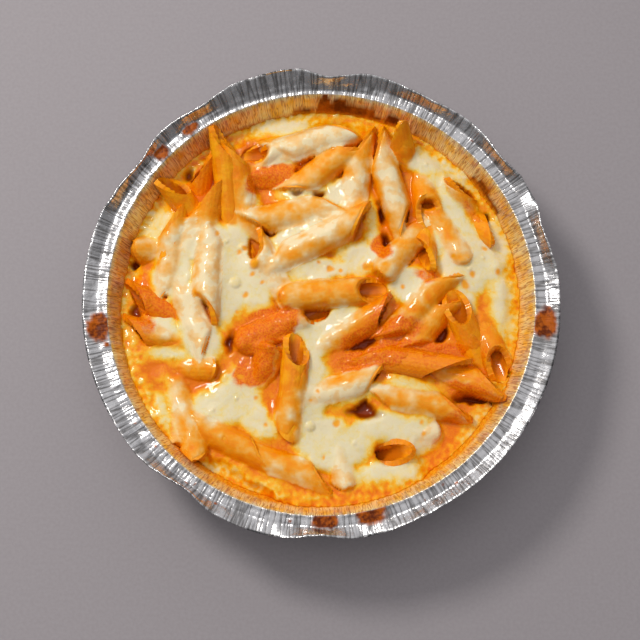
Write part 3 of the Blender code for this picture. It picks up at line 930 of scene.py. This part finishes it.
def lay_ground(x, y, edge):
    """What fills the tray between the quills: where cheese, sauces and gaps are, and how high it stands."""
    wx = x + 2.2 * ripple(x, y, 8, 0.5) + 1.1 * ripple(x, y, 3, 1.5)
    wy = y + 2.2 * ripple(x, y, 8, 2.5) + 1.1 * ripple(x, y, 3, 3.5)
    southern = south(np.degrees(np.arctan2(y, x)))
    brim = smooth_step((edge - 77 + 2 * ripple(x, y, 6, 6.6)) / 6)
    cream = patch_mask(CREAM, wx, wy, 7) * (1 - 0.3 * brim)
    red = patch_mask(RED_SAUCE, wx, wy, 4) * (1 - 0.5 * brim)
    orange = patch_mask(ORANGE_SAUCE, wx, wy, 4)
    hx = x + 1.3 * ripple(x, y, 3.2, 1.9)
    hy = y + 1.3 * ripple(x, y, 3.2, 3.9)
    hole = patch_mask(HOLES, hx, hy, 2)
    lumps = ripple(x, y, 11, 7.7) + 0.5 * ripple(x, y, 5, 8.8)
    froth = ripple(x, y, 2.2, 9.9)
    bed = BED_Z + 0.9 * lumps + 1.5 * cream + (3 * southern - 1.8) * brim
    bed = bed + 0.4 * froth * (red + 0.5 * orange + brim)
    pool = patch_mask(POOLS, wx, wy, 4)
    bed = bed + (POOL_Z + 0.15 * lumps - bed) * pool
    bed = bed - HOLE_DEPTH * hole
    return Ground(wx, wy, cream, red, orange, hole, brim, froth, bed)


def lay_film(x, y, ground):
    """The film over the quills: its height, cover, redness and mouths, and the bed sunk in the mouths."""
    uneven = 0.2 * ripple(x, y, 6, 4.4) + 0.12 * ripple(x, y, 2.4, 5.4)
    bed = ground.bed
    top = np.full(len(x), BESIDE)
    film, owner_red, mouth = np.zeros(len(x)), np.zeros(len(x)), np.zeros(len(x))
    for penne in PENNE:
        head, _, _, _, cut, _ = quill_axes(penne)
        reach = (head[0] - x) * cut[0] + (head[1] - y) * cut[1] - PENNE_R * cut[2] * 0.7
        shy = smooth_step((reach + 1) / 3) if penne.roll != 180 else 1
        spread = penne.film + ground.cream * (1 - penne.bare) + 0.6 * ground.red * (1 - 0.4 * penne.bare)
        cover = np.clip((spread + uneven) * (0.55 + 0.45 * shy), 0, 1)
        thick = FILM_MM * smooth_step((cover - 0.1) / 0.2) + CHEESE_MM * np.clip(cover - 0.4, 0, 1)
        height, angle, bored, roof = quill_top(x, y, penne, PENNE_R - 0.9 + thick, PENNE_R - PENNE_WALL / 2)
        height = height + np.where(height > 0, 0.05 * np.cos(angle * RIDGES) * (1 - ground.cream), 0)
        bed = np.where(bored & (roof > bed + 1.5), np.minimum(bed, height - 0.5), bed)
        wins = height > np.maximum(top, bed)
        film = np.where(wins, cover, film)
        owner_red = np.where(wins, penne.red, owner_red)
        mouth = np.where(wins, bored, mouth)
        top = np.maximum(top, height)
    return top, bed, film, owner_red, mouth


def meet_foil(x, y, edge, full_r, height):
    """The food's points, stretched or shrunk near their edge so that they meet the folded foil."""
    degrees = np.degrees(np.arctan2(y, x)) % 360
    rim = edge > full_r * 0.9999  # the outermost ring of points
    short = np.clip(foil_inside(degrees[rim], height[rim]) - edge[rim], -2, 0.8)
    short = np.interp(degrees, degrees[rim], short, period=360)
    share = smooth_step((edge - MEET_R) / (full_r - MEET_R))
    fitted = 1 + short * share / np.maximum(edge, 1)
    return np.column_stack((x * fitted, y * fitted, height))


def close_core(blanket):
    """Closes the sheet downwards to a flat underside just above the tray's foot."""
    bpy.context.view_layer.objects.active = blanket
    blanket.select_set(True)
    bpy.ops.object.mode_set(mode="EDIT")
    bpy.ops.mesh.select_all(action="SELECT")
    bpy.ops.mesh.region_to_loop()
    bpy.ops.mesh.extrude_region_move(TRANSFORM_OT_translate={"value": (0, 0, -CORE_DROP * MM)})
    shrink = CORE_R / FOOD_R
    bpy.ops.transform.resize(value=(shrink, shrink, 0), center_override=(0, 0, CORE_Z * MM))
    bpy.ops.mesh.edge_face_add()
    bpy.ops.object.mode_set(mode="OBJECT")


def make_blanket():
    bpy.ops.mesh.primitive_grid_add(x_subdivisions=NET_STEPS, y_subdivisions=NET_STEPS, size=1)
    blanket = start_piece("melted_cheese_and_sauce")
    bpy.ops.object.mode_set(mode="OBJECT")
    ux, uy = disc_net(NET_STEPS)
    grow = 1 + SOUTH_GROWTH * south(np.degrees(np.arctan2(uy, ux)))
    x, y = ux * FOOD_R * grow, uy * FOOD_R * grow
    edge = np.hypot(x, y)
    ground = lay_ground(x, y, edge)
    cream, red = ground.cream, ground.red
    top, bed, film, owner_red, mouth = lay_film(x, y, ground)

    # the sheet relaxes: it rounds over, fills the valleys between the quills, and sags unevenly
    height = np.maximum(bed, top)
    on_quill = smooth_step((top - bed) / 2)
    square = (NET_STEPS + 1, NET_STEPS + 1)
    soft = soften(height.reshape(square).copy(), SOFT_ROUNDS).ravel()
    level = soften(height.reshape(square).copy(), LEVEL_ROUNDS).ravel()
    mouth = soften(mouth.reshape(square).astype(float), 3).ravel()
    gooey = np.clip(np.maximum(cream * 1.1, film * 0.7), 0, 1) * (1 - np.clip(mouth * 1.5, 0, 1))
    height = height + (soft - height) * np.clip(0.25 * (1 - mouth) + gooey, 0, 0.9)
    height = height + np.clip(level - height, 0, 5) * 0.9 * gooey * (1 - ground.hole)
    height += (0.8 * ripple(x, y, 8.5, 21.1) + 0.4 * ripple(x, y, 4, 22.1)) * gooey * on_quill
    height += 0.55 * ripple(x, y, 3.4, 13.1) * np.clip(red + owner_red * on_quill - 0.3, 0, 1) * (1 - mouth)
    for bx, by, size, swell in BUBBLES:
        height += swell * np.sqrt(np.clip(1 - ((x - bx) ** 2 + (y - by) ** 2) / size**2, 0, 1))
    for sx, sy, size in SPOTS:
        height -= 0.15 * smooth_step(1.3 - np.hypot(x - sx, y - sy) / size)
    height += 0.12 * ripple(x, y, 1.8, 12.1) * (0.3 + red)
    mesh = blanket.data
    set_points(mesh, meet_foil(x, y, edge, FOOD_R * grow, height))

    # what each point looks like
    normals = np.empty(len(x) * 3)
    mesh.vertices.foreach_get("normal", normals)
    flatness = normals.reshape(-1, 3)[:, 2]
    slope = smooth_step((0.85 - flatness) / 0.45)
    crest = on_quill * smooth_step((height - 33) / 5)
    # how far a point lies below its smoothed surroundings; it thins the cream and strengthens the painted
    # shade
    cavity = smooth_step((level - height - 1.2) / 3)
    creamy = cream * (1 - 0.3 * slope - 0.4 * cavity) - 0.35 * ground.orange
    creamy = np.clip(creamy + (0.28 + 0.4 * ground.froth) * ground.brim + 0.1, 0, 1) * (1 - mouth)
    spots = np.zeros(len(x))
    for sx, sy, size in SPOTS:
        d = np.hypot(ground.wx * 0.6 + x * 0.4 - sx, ground.wy * 0.6 + y * 0.4 - sy)
        spots = np.maximum(spots, 0.95 * smooth_step((size - d) / 1.1 + 0.4))
    looks = {
        "cream": creamy,
        "film": np.clip(film - 0.3 * slope + 0.3 * cream * (1 - crest), 0, 1),
        "red": np.clip(red + owner_red * on_quill * (0.75 - 0.4 * film), 0, 1),
        # painted shade in the holes, in crevices between quills and in the quills' mouths
        "deep": np.clip(ground.hole * (1 - on_quill) + 0.4 * cavity * (1 - cream) + 0.5 * mouth, 0, 1),
        "spot": spots,
        "on_quill": on_quill,
    }
    for name, values in looks.items():
        set_attribute(mesh, name, values)
    close_core(blanket)
    close_piece(blanket, blanket_finish())
    sheets = ("melted_cheese_far", "melted_cheese_near", "melted_cheese_left")
    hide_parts(*sheets, "tomato_cream_sauce")


# ---------------------------------------------------------------------------------------------------- studio


def add_area(name, place, size, power, colour):
    bpy.ops.object.light_add(type="AREA", location=place)
    lamp = bpy.context.object
    lamp.name = name
    lamp.rotation_euler = (-Vector(place)).to_track_quat("-Z", "Y").to_euler()
    lamp.data.shape = "DISK"
    lamp.data.size = size
    lamp.data.energy = power
    lamp.data.color = colour
    return lamp


def make_sky():
    """Grey surroundings, lighter high up on the far side, with soft bright and dark panels for the foil."""
    sky = Finish(bpy.data.worlds.new("studio"), "Background")
    direction = sky.node("ShaderNodeTexCoord", output="Generated")
    panels = sky.node("ShaderNodeTexNoise", None, {"Vector": direction, "Scale": 2.2, "Detail": 1})
    terms = {0: direction, 1: (-0.05, 0.36, 0.45)}
    slope = sky.node("ShaderNodeVectorMath", {"operation": "DOT_PRODUCT"}, terms, output="Value")
    stops = [(0.55, (0.15, 0.15, 0.155)), (0.98, (0.62, 0.62, 0.64))]
    tone = sky.node("ShaderNodeValToRGB", {"stops": stops}, {"Fac": panels + slope}, output="Color")
    return sky.shine(color=tone)


def make_studio():
    elevation, distance = radians(80.5), 0.6
    target = Vector((-0.51, -8.66, 42)) * MM
    back = Vector((0, -cos(elevation), sin(elevation)))
    bpy.ops.object.camera_add(location=target + back * distance, rotation=(pi / 2 - elevation, 0, 0))
    camera = bpy.context.object
    camera.data.lens = 79.785
    camera.data.clip_start = 0.01
    bpy.context.scene.camera = camera
    add_area("key_window", (-0.50, 0.45, 0.85), 0.25, 6.0, (1, 0.98, 0.95))
    fill = add_area("overhead_softbox", (-0.1, 0.1, 1.3), 0.9, 3.0, (0.97, 0.98, 1))
    fill.visible_glossy = False
    bpy.ops.mesh.primitive_plane_add(size=3)
    floor = bpy.context.object
    floor.name = "floor"
    paint = Finish(bpy.data.materials.new("pale_floor"))
    speckle = paint.noise(1.5, 2)
    tone = paint.mix(speckle.step(0.2, 0.8), srgb(148, 141, 143), srgb(154, 147, 149))
    floor.data.materials.append(paint.shine(base_color=tone, roughness=0.7))
    bpy.context.scene.world = make_sky()
    bpy.context.scene.view_settings.view_transform = "Standard"


def main():
    deselect()
    make_studio()
    make_tray()
    make_penne()
    make_blanket()


main()
